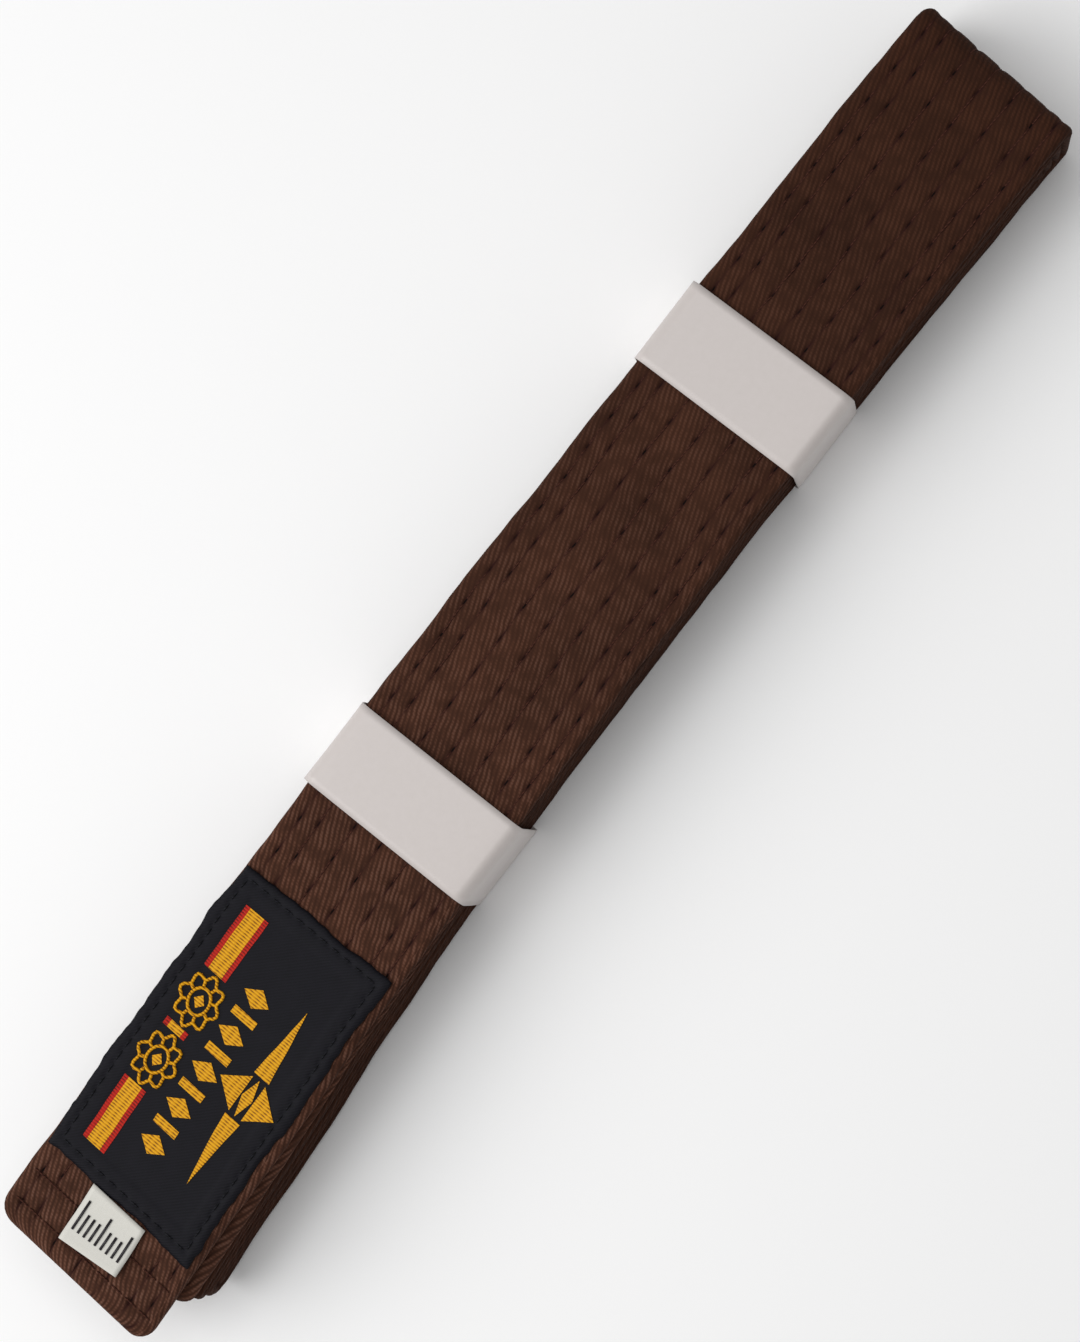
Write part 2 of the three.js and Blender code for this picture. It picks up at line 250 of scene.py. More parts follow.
def surface(tree, shader, colour, height, strength, depth_mm, finish):
    """Gives the shader its colour, a relief of a depth in millimetres, and its other values."""
    tree.links.new(colour, shader.inputs["Base Color"])
    relief = add(tree, "ShaderNodeBump", {"Height": height, "Strength": strength, "Distance": depth_mm * MM})
    tree.links.new(relief.outputs["Normal"], shader.inputs["Normal"])
    for name, value in finish.items():
        shader.inputs[name].default_value = value


def cotton_twill():
    """Dyed cotton twill: steep wales of short floats, matt, and lighter towards the label end, a painted
    sheen.

    Along the stitch rows the cloth is darker, with a dark slit where it is drawn in, and each needle hole
    is nearly black. All of this is painted shade.
    """
    material, tree, shader = new_material("cotton_twill_brown")
    weave = add(tree, "ShaderNodeUVMap", uv_map="weave").outputs["UV"]
    turned = add(tree, "ShaderNodeMapping", {
        "Vector": weave, "Rotation": (0, 0, math.radians(-WALE_ANGLE))}).outputs["Vector"]
    wales = waves(tree, turned, WALE_PITCH, "Y", distortion=2.2, detail=3.0, detail_scale=0.9)
    floats = waves(tree, weave, FLOAT_PITCH, "X", distortion=2.5)
    stretched = add(tree, "ShaderNodeMapping", {"Vector": turned, "Scale": YARN_STRETCH}).outputs["Vector"]
    yarns = mottle(tree, stretched, scale=1.1, detail=5.0, roughness=0.72)
    patches = mottle(tree, weave, scale=0.06, detail=3.0)
    worn = rescale(tree, mottle(tree, weave, scale=0.3, detail=3.0), (0.36, 0.64), (0.3, 1.45))
    wales = product(tree, wales, worn)
    floats = product_plus(tree, floats, 0.75, 0.85)
    relief = product_plus(tree, yarns, 0.85, product(tree, floats, wales))

    along = add(tree, "ShaderNodeSeparateXYZ", {"Vector": weave}).outputs["X"]
    # Painted shade and highlight of the wales, stronger towards the label end.
    darkest = rescale(tree, along, STRONG_TO_CALM, (0.56, 0.77))
    lightest = rescale(tree, along, STRONG_TO_CALM, (1.66, 1.37))
    shade = rescale(tree, relief, (0.25, 1.6), (darkest, lightest))
    shade = product(tree, shade, rescale(tree, patches, (0.3, 0.7), (0.78, 1.18)))
    # The cloth is lighter towards the label end: a painted sheen.
    past_sheen = rescale(tree, along, (0, SHEEN_LENGTH), (0, 1))
    sheen_tone = tint(tree, past_sheen, TWILL_NEAR_SHEEN, TWILL_FAR_END)
    cloth = add(tree, "ShaderNodeHueSaturation", {"Color": sheen_tone, "Value": shade}).outputs["Color"]
    # Painted highlight: the highest floats near the label end are taken towards a pale pinkish grey.
    painted_highlight = rescale(tree, relief, (1.1, 2.4), (0, 0.35))
    in_sheen = add(tree, "ShaderNodeMath", {0: 1.0, 1: past_sheen}, operation="SUBTRACT").outputs["Value"]
    cloth = tint(tree, product(tree, painted_highlight, in_sheen), cloth, FLOAT_HIGHLIGHT)

    # Painted shade along the stitch rows: darker in the channel and near each needle hole, with a dark slit
    # where the cloth is drawn in.
    aside = add(tree, "ShaderNodeAttribute", attribute_name="aside").outputs["Fac"]
    beyond = add(tree, "ShaderNodeAttribute", attribute_name="beyond").outputs["Fac"]
    channel = rescale(tree, aside, (0.1, 0.9), (0.28, 0), "SMOOTHSTEP")
    drawn = rescale(tree, beyond, (0, 3.2), (2.2, 0.8), "SMOOTHSTEP")
    slit = rescale(tree, aside, (0.04, 0.26), (0.75, 0))
    slit_fade = rescale(tree, beyond, (0.8, 4.0), (1, 0.12))
    channel = product_plus(tree, slit, slit_fade, product(tree, channel, drawn))
    row_shaded = tint(tree, channel, cloth, ROW_SHADE)
    # Painted shade: each needle hole is nearly black.
    reach = add(tree, "ShaderNodeCombineXYZ", {"X": beyond, "Y": aside}).outputs["Vector"]
    reach = add(tree, "ShaderNodeVectorMath", {
        0: reach, 1: (1 / HOLE_REACH[0], 1 / HOLE_REACH[1], 0)}, operation="MULTIPLY").outputs["Vector"]
    reach = add(tree, "ShaderNodeVectorMath", {0: reach}, operation="LENGTH").outputs["Value"]
    hole = rescale(tree, reach, (0.75, 1.25), (1, 0), "SMOOTHSTEP")
    openness = rescale(tree, mottle(tree, weave, scale=0.21, detail=0.0), (0.3, 0.6), (0.25, 1))
    hole_shaded = tint(tree, product(tree, hole, openness), row_shaded, HOLE_SHADE)
    surface(tree, shader, hole_shaded, relief, 0.55, 0.12, {"Roughness": 0.9, "Specular IOR Level": 0.12})
    return material


def spun(name, dark, light, pitch_mm=0.5, roughness=0.7):
    """Twisted thread or felted cotton: fine slanting plies with little lustre."""
    material, tree, shader = new_material(name)
    plies = waves(tree, in_millimetres(tree), pitch_mm, "DIAGONAL", distortion=1.5)
    surface(tree, shader, tint(tree, plies, dark, light), plies, 0.6, 0.04, {
        "Roughness": roughness, "Specular IOR Level": 0.15})
    return material


def satin_stitch(name, code, shade, light):
    """Embroidery in satin stitch: side-by-side threads across the figure, with dark lines between."""
    material, tree, shader = new_material(name)
    place = in_millimetres(tree)
    threads = waves(tree, place, 0.62, "X", distortion=0.9, detail=3.0, detail_scale=3.0)
    crossing = waves(tree, place, 1.7, "Y", distortion=2.5)
    lit = product_plus(tree, crossing, 0.3, threads)
    tone = add(tree, "ShaderNodeValToRGB", {"Fac": lit})
    darkest, lightest = tone.color_ramp.elements
    darkest.position, darkest.color = 0.05, linear(shade)
    lightest.position, lightest.color = 1.0, linear(light)
    tone.color_ramp.elements.new(0.4).color = linear(code)
    surface(tree, shader, tone.outputs["Color"], lit, 0.7, 0.09, {
        "Roughness": 0.5, "Specular IOR Level": 0.15})
    return material


def label_satin():
    """Polyester satin, black with a blue cast and a little cloudy.

    Its ribs are drawn about twice as coarse as real ones, which would be too fine to see.
    """
    material, tree, shader = new_material("woven_satin_black")
    place = in_millimetres(tree)
    ribs = waves(tree, place, 0.42, "DIAGONAL", distortion=1.2, detail_scale=2.5)
    lit = product_plus(tree, ribs, 0.6, mottle(tree, place, scale=0.35, detail=5.0))
    surface(tree, shader, tint(tree, lit, "#07070B", "#121118"), ribs, 0.5, 0.05, {
        "Roughness": 0.65, "Specular IOR Level": 0.15})
    return material


def smooth_sheet(name, code, shade, grain_mm, roughness, coat=0.0):
    """Paper, coated tape or print: a faint fibre mottle, and the gloss that calendering or coating gives."""
    material, tree, shader = new_material(name)
    fibres = mottle(tree, in_millimetres(tree), scale=1 / grain_mm, detail=6.0, roughness=0.7)
    surface(tree, shader, tint(tree, fibres, shade, code), fibres, 0.25, 0.03, {
        "Roughness": roughness, "Coat Weight": coat, "Coat Roughness": 0.25})
    return material


twill = cotton_twill()
padding_cloth = spun("cotton_padding_unbleached", "#CFC3AC", "#E2D9C6", pitch_mm=0.9)
brown_thread = spun("polyester_thread_brown", "#341B14", "#4A2A20", roughness=0.9)
black_thread = spun("polyester_thread_black", "#08080A", "#1C1C22")
satin = label_satin()
gold = satin_stitch("embroidery_gold", "#CE8C04", "#744604", "#E6A816")
red = satin_stitch("embroidery_red", "#A8160A", "#5A0A06", "#BC2010")
tape = smooth_sheet("coated_tape_white", "#DCDAD2", "#CAC8C0", grain_mm=0.5, roughness=0.6)
ink = smooth_sheet("printed_ink_dark", "#241E22", "#171318", grain_mm=0.3, roughness=0.5)
paper = smooth_sheet("calendered_paper_white", "#CEC6C3", "#C6BEBA", grain_mm=1.6, roughness=0.42, coat=0.15)


# ---------------------------------------------------------------- the way the bundle lies

def ease(share):
    share = min(1.0, max(0.0, share))
    return share * share * (3 - 2 * share)


def waver(size, *place):
    """A smooth uneven drift of about this size."""
    return size * noise.noise(Vector(place))


def bow(x):
    """How far the bundle bows to the left at a place along it."""
    from_middle = (x - MIDDLE_X) / HALF_LENGTH
    return SIDE_BOW * (1 - from_middle ** 2) - END_ASIDE * ease(1 - (x - END_X) / END_ASIDE_LENGTH)


def lean(x):
    """How far the bundle's underside leans to the left of its top at a place along it."""
    return LEAN * ease((x - LEAN_START) / (LEAN_END - LEAN_START))


def lie(point):
    """Where a point of the square bundle lies in the real, slightly uneven one."""
    depth = (TOP - point.z) / PITCH
    from_end = point.x - END_X
    to_far = FAR_X - point.x
    aside = bow(point.x)
    aside -= FAN * ease(1 - from_end / FAN_LENGTH) * ease((depth - FAN_FROM_LAYER) / FAN_LAYERS)
    aside += lean(point.x) * max(0.0, depth) / LAYERS
    aside += waver(EDGE_WAVER, point.x / (23 * MM), 1.3 * depth, 0)
    aside += waver(FINE_WAVER, point.x / (5 * MM), 1.3 * depth, 4)
    aside += waver(ROW_WAVER, point.x / (17 * MM), point.y / (8 * MM), 6)
    aside += END_SPREAD * ease(1 - from_end / SPREAD_LENGTH) * point.y
    skew = END_SKEW * ease(1 - (from_end - SKEW_FULL) / SKEW_LENGTH)
    skew += FAR_SKEW * ease(1 - to_far / SKEW_LENGTH)
    lift = END_LIFT * ease(1 - from_end / END_LIFT_LENGTH) if depth < TOP_LAYER else 0.0
    return Vector((point.x + skew * point.y, point.y + aside, point.z + lift))


# ---------------------------------------------------------------- the belt strip

def station(x, z, heading, along):
    return {"x": x, "z": z, "heading": heading, "along": along}


def straight(path, to_x, step):
    """Carries the path level to a place, in steps of about the given length."""
    last = path[-1]
    length = abs(to_x - last["x"])
    steps = max(1, round(length / step))
    for i in range(1, steps + 1):
        x = last["x"] + (to_x - last["x"]) * i / steps
        path.append(station(x, last["z"], last["heading"], last["along"] + length * i / steps))


def turn(path, side, to_z):
    """Carries the path round a fold to another layer: two rounded corners and the upright between them."""
    start = path[-1]
    rise = to_z - start["z"]
    radius = min(FOLD_CORNER, abs(rise) / 2)
    up = math.copysign(1, rise)
    spin = up * side
    quarter = radius * math.pi / 2
    for i in range(1, FOLD_STEPS + 1):
        angle = i / FOLD_STEPS * math.pi / 2
        x = start["x"] + side * radius * math.sin(angle)
        z = start["z"] + up * radius * (1 - math.cos(angle))
        path.append(station(x, z, start["heading"] + spin * angle, start["along"] + quarter * i / FOLD_STEPS))
    upright = abs(rise) - 2 * radius
    middle = path[-1]
    first = 1 if upright < SHORT_UPRIGHT else 0
    for i in range(first, FOLD_STEPS + 1):
        angle = i / FOLD_STEPS * math.pi / 2
        x = middle["x"] - side * radius * (1 - math.cos(angle))
        z = to_z - up * radius * (1 - math.sin(angle))
        along = middle["along"] + upright + quarter * i / FOLD_STEPS
        path.append(station(x, z, middle["heading"] + spin * angle, along))


def layer_z(layer):
    return TOP - LAYER / 2 - (layer - 1) * PITCH


def bundle_path(fine):
    """The strip's middle line through the bundle, from under the near band to its other end there.

    Each leg ends at a fold, where the strip turns to the layer that is named by its number from the top.
    """
    far = [FAR_X - LAYER / 2 - depth * PITCH for depth in range(4)]
    near = [NEAR_FOLD_X + LAYER / 2 + depth * PITCH for depth in range(2)]
    legs = [
        (far[0], 8, fine), (near[0], 5, 2 * fine), (far[3], 4, COARSE), (near[0], 3, COARSE),
        (far[2], 6, COARSE), (near[1], 7, COARSE), (far[1], 2, COARSE),
    ]
    path = [station(JOIN_X, layer_z(1), 0.0, JOIN_X - END_X)]
    side = 1
    for fold_x, next_layer, step in legs:
        radius = min(FOLD_CORNER, abs(layer_z(next_layer) - path[-1]["z"]) / 2)
        straight(path, fold_x - side * radius, step)
        turn(path, side, layer_z(next_layer))
        side = -side
    straight(path, JOIN_X, COARSE)
    return path


def end_path(free_x, layer, to_x, fine):
    """A loose end's middle line, from its free edge to a place past the hinge."""
    path = [station(free_x, layer_z(layer), 0.0, 0.0)]
    for share in CORNER_SHARES:
        path.append(station(free_x + END_CORNER * share, layer_z(layer), 0.0, END_CORNER * share))
    straight(path, to_x, fine)
    return path


def frame_at(place, flip=False):
    """The matrix that stands a section, drawn across Y and up Z, at a place on the path."""
    heading = place["heading"] + (math.pi if flip else 0.0)
    turned = Matrix.Rotation(-heading, 4, "Y")
    return Matrix.Translation((place["x"], 0, place["z"])) @ turned


def cover_outline(both_faces):
    """The cover's section: columns close together at the stitch rows, and rounded edges."""
    flat = HALF_WIDTH - EDGE_ROUND
    columns = {-flat, flat}
    for row in ROWS:
        columns |= {row + offset * MM for offset in ROW_COLUMNS_MM}
    for before, after in zip([-flat] + ROWS, ROWS + [flat]):
        if after - before > WIDE_GAP:
            columns |= {before + (after - before) * share for share in GAP_SHARES}
    columns = sorted(columns)
    label_face = [(across, LAYER / 2) for across in columns]
    angles = [math.radians(angle) for angle in EDGE_ANGLES]
    left = [(flat + EDGE_ROUND * math.cos(a), LAYER / 2 * math.sin(a)) for a in angles]
    sparse = [flat * (2 * i / PLAIN_COLUMNS - 1) for i in range(PLAIN_COLUMNS + 1)]
    plain_face = [(-across, -LAYER / 2) for across in (columns if both_faces else sparse)]
    right = [(-across, -height) for across, height in left]
    return label_face + left + plain_face + right


def nearest_hole(along, across):
    """How far a place is beside the nearest stitch row, and beyond the nearest needle hole along it."""
    aside, row = min((abs(across - row), i) for i, row in enumerate(ROWS))
    drift = waver(STITCH_DRIFT, along / (37 * MM), 7.7 * row, 3)
    offset = (along + row * row * STAGGER + drift) % STITCH
    return min(aside, NO_ROW_NEAR), min(offset, STITCH - offset)


def quilting(along, across):
    """How far a sewn face stands above its flat."""
    aside, beyond = nearest_hole(along, across)
    rise = 0.0
    if aside < NO_ROW_NEAR:
        pull = math.exp(-(beyond / PULL_LENGTH) ** 2)
        rise -= CHANNEL_DEPTH * math.exp(-(aside / CHANNEL_SPREAD) ** 2) * (0.65 + 0.5 * pull)
        rise -= HOLE_DEPTH * math.exp(-(beyond / HOLE_LENGTH) ** 2 - (aside / HOLE_WIDTH) ** 2)
    rise += waver(PUCKER, along / (2.6 * MM), across / (5 * MM), 1.3)
    rise += waver(UNEVEN, along / (19 * MM), across / (11 * MM), 8.1)
    return rise


def hem_crease(along):
    """How deep the cross rows of an end's hem draw the cloth in."""
    return sum(HEM_CREASE * math.exp(-((along - hem) / HEM_SPREAD) ** 2) for hem in HEMS)


def on_sewn_face(height, both_faces):
    """Whether a point of the section is on a face that shows its stitch rows."""
    return abs(height) > FACE_SHARE * LAYER / 2 and (both_faces or height > 0)


def cover_rise(along, across, height, hems, both_faces):
    """How far a point of the cover stands out from the plain section, along the section's up."""
    if not on_sewn_face(height, both_faces):
        return 0.0
    rise = quilting(along, across)
    if hems:
        rise -= hem_crease(along)
    return math.copysign(1, height) * rise * ease((HALF_WIDTH - abs(across)) / EDGE_FADE)


def round_off(point, along, middle_z):
    """Rounds a free end's corners in plan and thins its edge."""
    if along >= END_CORNER:
        return point
    inset = END_CORNER - along
    reach = HALF_WIDTH - END_CORNER + math.sqrt(END_CORNER ** 2 - inset ** 2)
    edge = min(1.0, along / THIN_EDGE)
    thin = max(THINNEST, math.sqrt(edge * (2 - edge)))
    return Vector((point.x, point.y * reach / HALF_WIDTH, middle_z + (point.z - middle_z) * thin))


def only(kind, items):
    return [item for item in items if isinstance(item, kind)]


def close_end(bm, ring):
    """Caps a strip's cut end with a crisp edge, so that two ends that meet show no seam."""
    bmesh.ops.contextual_create(bm, geom=ring)
    for edge in ring:
        edge.smooth = False


def sweep(name, outline, path, hems=False, flip=False, detail=True, both_faces=False):
    """Carries a closed section along a path, then settles its points as the real bundle lies."""
    bm = bmesh.new()
    along, girth, across, height = (
        bm.verts.layers.float.new(key) for key in ("along", "girth", "across", "height"))
    up = bm.verts.layers.float_vector.new("up")
    before = frame_at(path[0], flip)
    verts = [bm.verts.new(before @ Vector((0, y, z))) for y, z in outline]
    travelled = 0.0
    for i, (vert, place) in enumerate(zip(verts, outline)):
        travelled += math.dist(place, outline[i - 1]) if i else 0.0
        vert[girth], vert[across], vert[height] = travelled, place[0], place[1]
        vert[along], vert[up] = path[0]["along"], before.col[2].to_3d()
    total_girth = travelled + math.dist(outline[0], outline[-1])
    ring = [bm.edges.new((verts[i - 1], verts[i])) for i in range(len(verts))]
    close_end(bm, ring)
    for place in path[1:]:
        grown = bmesh.ops.extrude_edge_only(bm, edges=ring)["geom"]
        verts = only(bmesh.types.BMVert, grown)
        fresh = set(verts)
        ring = [edge for edge in only(bmesh.types.BMEdge, grown) if fresh.issuperset(edge.verts)]
        after = frame_at(place, flip)
        bmesh.ops.transform(bm, matrix=after @ before.inverted(), verts=verts)
        for vert in verts:
            vert[along], vert[up] = place["along"], after.col[2].to_3d()
        before = after
    close_end(bm, ring)

    weave = bm.loops.layers.uv.new("weave")
    for face in bm.faces:
        girths = [vert[girth] for vert in face.verts]
        wraps = max(girths) - min(girths) > total_girth / 2
        for loop in face.loops:
            lap = total_girth if wraps and loop.vert[girth] < total_girth / 2 else 0.0
            loop[weave].uv = (loop.vert[along] / MM, (loop.vert[girth] + lap) / MM)
    bmesh.ops.recalc_face_normals(bm, faces=bm.faces)

    beside = bm.verts.layers.float.new("aside")
    beyond = bm.verts.layers.float.new("beyond")
    for vert in bm.verts:
        point = vert.co.copy()
        vert[beside] = NO_ROW_NEAR / MM
        if detail:
            point += vert[up] * cover_rise(vert[along], vert[across], vert[height], hems, both_faces)
            if on_sewn_face(vert[height], both_faces):
                vert[beside], vert[beyond] = (d / MM for d in nearest_hole(vert[along], vert[across]))
        if hems:
            point = round_off(point, vert[along], path[0]["z"])
        vert.co = lie(point)
    return finished(name, bm)


def add_piece(name, mesh):
    """Stands a mesh in the scene as a smooth-shaded piece."""
    mesh.polygons.foreach_set("use_smooth", [True] * len(mesh.polygons))
    piece = bpy.data.objects.new(name, mesh)
    bpy.context.scene.collection.objects.link(piece)
    return piece


def finished(name, bm):
    """Turns a bmesh into a piece."""
    mesh = bpy.data.meshes.new(name)
    bm.to_mesh(mesh)
    bm.free()
    return add_piece(name, mesh)


def cord_mesh(name, runs, radius):
    """Threads that follow runs of points, as one mesh."""
    curve = bpy.data.curves.new(name, "CURVE")
    curve.dimensions = "3D"
    curve.bevel_depth = radius
    curve.bevel_resolution = 1
    curve.use_fill_caps = True
    for points in runs:
        spline = curve.splines.new("POLY")
        spline.points.add(len(points) - 1)
        spline.points.foreach_set("co", [value for point in points for value in (*point, 1.0)])
    holder = bpy.data.objects.new(name + "_run", curve)
    bpy.context.scene.collection.objects.link(holder)
    bpy.context.view_layer.update()
    mesh = bpy.data.meshes.new_from_object(holder)
    bpy.data.objects.remove(holder)
    mesh.name = name
    return add_piece(name, mesh)


def row_points(row, path, flip=False, start=0.0):
    """A lengthwise thread: it lies in its channel and dives into a hole at each stitch."""
    points = []
    for place in path:
        if place["along"] < start:
            continue
        beyond = nearest_hole(place["along"], ROWS[row])[1]
        dive = THREAD_DIVE * math.exp(-(beyond / THREAD_DIVE) ** 2)
        level = LAYER / 2 - CHANNEL_DEPTH - 0.3 * THREAD_RADIUS - dive
        points.append(lie(frame_at(place, flip) @ Vector((0, ROWS[row], level))))
    return points


def hem_points(x, face_z, side):
    """A hem's thread across the strip, on the face that the side points out of."""
    points = []
    reach = HALF_WIDTH - HEM_MARGIN
    for i in range(HEM_STEPS + 1):
        y = -reach + 2 * reach * i / HEM_STEPS
        offset = (y + reach) % HEM_STITCH
        dive = HEM_DIVE * math.exp(-(min(offset, HEM_STITCH - offset) / HEM_DIVE_LENGTH) ** 2)
        points.append(lie(Vector((x, y, face_z - side * (HEM_SINK + dive)))))
    return points


# ---------------------------------------------------------------- the strip's pieces

loop_path = bundle_path(FINE)
label_path = end_path(END_X, 1, JOIN_X, FINE)
plain_path = end_path(plain_end_low.x, 2, JOIN_X, 1.5 * FINE)

bundle_strip = sweep("bundle_strip", cover_outline(False), loop_path)
label_strip = sweep("label_end_strip", cover_outline(True), label_path, hems=True, both_faces=True)
plain_strip = sweep("plain_end_strip", cover_outline(True), plain_path, hems=True, flip=True, both_faces=True)


def place_piece(piece, body, material, slot, *nodes):
    """Gives a finished piece its material and fixes it to its body; a piece on a loose end is left free, with
    its place baked in. The parts it stands for are hidden.
    """
    piece.data.materials.clear()
    piece.data.materials.append(material)
    if body.startswith("bend:"):
        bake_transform(piece)
    else:
        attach(piece, body)
    if nodes:
        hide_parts(*nodes)
    return piece


threads = {
    "bundle": (loop_path, False, 0.0, "bundle"),
    "label_end": (label_path, False, THREAD_START, "bend:label_end"),
    "plain_end": (plain_path, True, THREAD_START, "bend:plain_end"),
}
hem_faces = {"label_end": (END_X, TOP, 1), "plain_end": (plain_end_low.x, plain_end_low.z, -1)}

for name, (path, flip, start, body) in threads.items():
    for row in range(len(ROWS)):
        piece = cord_mesh(f"{name}_thread_{row + 1}", [row_points(row, path, flip, start)], THREAD_RADIUS)
        place_piece(piece, body, brown_thread, "brown_thread", f"{name}_stitch_row_{row + 1}")
for name, (free_x, face_z, side) in hem_faces.items():
    for i, hem in enumerate(HEMS):
        points = hem_points(free_x + hem, face_z, side)
        piece = cord_mesh(f"{name}_hem_thread_{i + 1}", [points], THREAD_RADIUS)
        place_piece(piece, f"bend:{name}", brown_thread, "brown_thread", f"{name}_hem_row_{i + 1}")

place_piece(bundle_strip, "bundle", twill, "brown_twill", "bundle_cover")
place_piece(label_strip, "bend:label_end", twill, "brown_twill", "label_end_cover")
place_piece(plain_strip, "bend:plain_end", twill, "brown_twill", "plain_end_cover")

# The padding's two plies, inside each strip, as thin as the stitching squeezes them. They stop short of
# where the strip is joined or closed.
PLY = 0.38 * MM
PLY_OFFSET = 0.22 * MM
PLY_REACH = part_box("label_end_upper_ply")[1].y
PLY_STEP = 6 * MM
LOOP_TRIM = 3 * MM
FREE_TRIM = 6 * MM
JOIN_TRIM = 1 * MM


def ply_outline(offset):
    low, high = offset - PLY / 2, offset + PLY / 2
    return [(-PLY_REACH, high), (PLY_REACH, high), (PLY_REACH, low), (-PLY_REACH, low)]


def trimmed(path, near_trim, far_trim):
    """The path without its first and last stretch, so that what follows it stays inside the cover."""
    first, last = path[0]["along"] + near_trim, path[-1]["along"] - far_trim
    return [place for place in path if first <= place["along"] <= last]


ply_paths = {
    "bundle": (trimmed(bundle_path(PLY_STEP), LOOP_TRIM, LOOP_TRIM), False, "bundle"),
    "label_end": (trimmed(label_path, FREE_TRIM, JOIN_TRIM), False, "bend:label_end"),
    "plain_end": (trimmed(plain_path, FREE_TRIM, JOIN_TRIM), True, "bend:plain_end"),
}
for name, (path, flip, body) in ply_paths.items():
    for place, offset in (("upper", PLY_OFFSET), ("lower", -PLY_OFFSET)):
        ply = sweep(f"{name}_{place}_padding", ply_outline(offset), path, flip=flip, detail=False)
        place_piece(ply, body, padding_cloth, "cotton_padding", f"{name}_{place}_ply")


# ---------------------------------------------------------------- the label and its embroidery

LABEL_MIDDLE = (label_low + label_high) / 2
LABEL_SIZE = label_high - label_low
LABEL_INSET = label_stitch_low.x - label_low.x
LABEL_PLY = 0.34 * MM
LABEL_COLUMNS, LABEL_ROWS = 150, 84
LABEL_SINK = 0.1 * MM
LABEL_STITCH = 3.1 * MM
LABEL_STITCH_SHOWS = 2.2 * MM
LABEL_THREAD_RADIUS = 0.2 * MM
LABEL_THREAD_DIP = 0.22 * MM
DASH_POINTS = 6
SEAM_DEPTH = 0.3 * MM
SEAM_SPREAD = 0.5 * MM
TURNED_WIDTH = 5.4 * MM
TURNED_EDGE = 1.0 * MM
TURNED_RISE = 0.16 * MM
LABEL_EDGE_DROP = 0.45 * MM
LABEL_EDGE_ROUND = 0.9 * MM


def label_height(x, y):
    """The label's top: flat inside, drawn down at its stitches and rounded at its turned edges."""
    from_end = min(x - label_low.x, label_high.x - x)
    from_side = min(y - label_low.y, label_high.y - y)
    from_edge = min(from_end, from_side)
    run = x if from_end > from_side else y
    beat = 0.6 + 0.4 * math.cos(2 * math.pi * run / LABEL_STITCH)
    seam = SEAM_DEPTH * math.exp(-((from_edge - LABEL_INSET) / SEAM_SPREAD) ** 2) * beat
    hem = TURNED_RISE * ease((TURNED_WIDTH - from_edge) / TURNED_EDGE)
    edge = LABEL_EDGE_DROP * (1 - ease(from_edge / LABEL_EDGE_ROUND))
    soft = waver(0.1 * MM, x / (7 * MM), y / (7 * MM), 5.5)
    return label_high.z - LABEL_SINK + hem - seam - edge + soft


def make_label():
    bm = bmesh.new()
    bmesh.ops.create_grid(bm, x_segments=LABEL_COLUMNS, y_segments=LABEL_ROWS, size=0.5)
    for vert in bm.verts:
        x = LABEL_MIDDLE.x + vert.co.x * LABEL_SIZE.x
        y = LABEL_MIDDLE.y + vert.co.y * LABEL_SIZE.y
        z = label_height(x, y)
        frayed = waver(0.3 * MM, x / (2.2 * MM), y / (2.2 * MM), 2.0)
        frayed += waver(0.7 * MM, x / (11 * MM), y / (11 * MM), 2.0)
        at_end = ease((abs(vert.co.x) - 0.47) / 0.03)
        at_side = ease((abs(vert.co.y) - 0.46) / 0.04)
        x += at_end * frayed
        y += at_side * frayed
        vert.co = lie(Vector((x, y, z)))
    bmesh.ops.recalc_face_normals(bm, faces=bm.faces)
    if bm.faces[0].normal.z < 0:
        bmesh.ops.reverse_faces(bm, faces=bm.faces)
    bmesh.ops.solidify(bm, geom=bm.faces, thickness=LABEL_PLY)
    return finished("woven_label", bm)


def make_label_seam():
    """The black stitches round the label, one mesh for the whole run."""
    runs = []
    low, high = label_stitch_low, label_stitch_high
    corners = [(low.x, low.y), (high.x, low.y), (high.x, high.y), (low.x, high.y)]
    for corner, following in zip(corners, corners[1:] + corners[:1]):
        count = round(math.dist(corner, following) / LABEL_STITCH)
        for i in range(count):
            points = []
            for j in range(DASH_POINTS):
                from_start = j / (DASH_POINTS - 1)
                share = (i + 0.5 + (from_start - 0.5) * LABEL_STITCH_SHOWS / LABEL_STITCH) / count
                x = corner[0] + (following[0] - corner[0]) * share
                y = corner[1] + (following[1] - corner[1]) * share
                dip = LABEL_THREAD_DIP * (2 * from_start - 1) ** 2
                points.append(lie(Vector((x, y, label_height(x, y) + LABEL_SINK - dip))))
            runs.append(points)
    return cord_mesh("label_seam", runs, LABEL_THREAD_RADIUS)


# The label's figures. Their places and outlines are in millimetres from its near edge and its left edge.
FIGURE_RISE = 0.16 * MM
STRIPE_RISE = 0.12 * MM
STAR_RISE = 0.18 * MM
STRIPE = (5.5, 63.0)
STRIPE_ACROSS = (5.2, 10.8)
RED_EDGE = 1.1
EMBLEMS = ((27.0, 8.7), (41.5, 8.7))
EMBLEM_HALF = (5.9, 4.7)
EMBLEM_GAP = 0.5
CORD_RADIUS = 0.36 * MM
CORD_RISE = 0.12 * MM
LOBES = 8
RING_STEPS = 48
ROW_ACROSS = 17.8
ROW_ALONG = (11.5, 52.0)
ROW_COUNT = 9
STAR_MIDDLE = (33.5, 27.6)
LONG_EDGE = 2.5


def on_label(along_mm, across_mm, rise):
    """A point of the label's figures, from its near edge and its left edge."""
    x = label_low.x + along_mm * MM
    y = label_high.y - across_mm * MM
    return lie(Vector((x, y, label_height(x, y) + rise)))


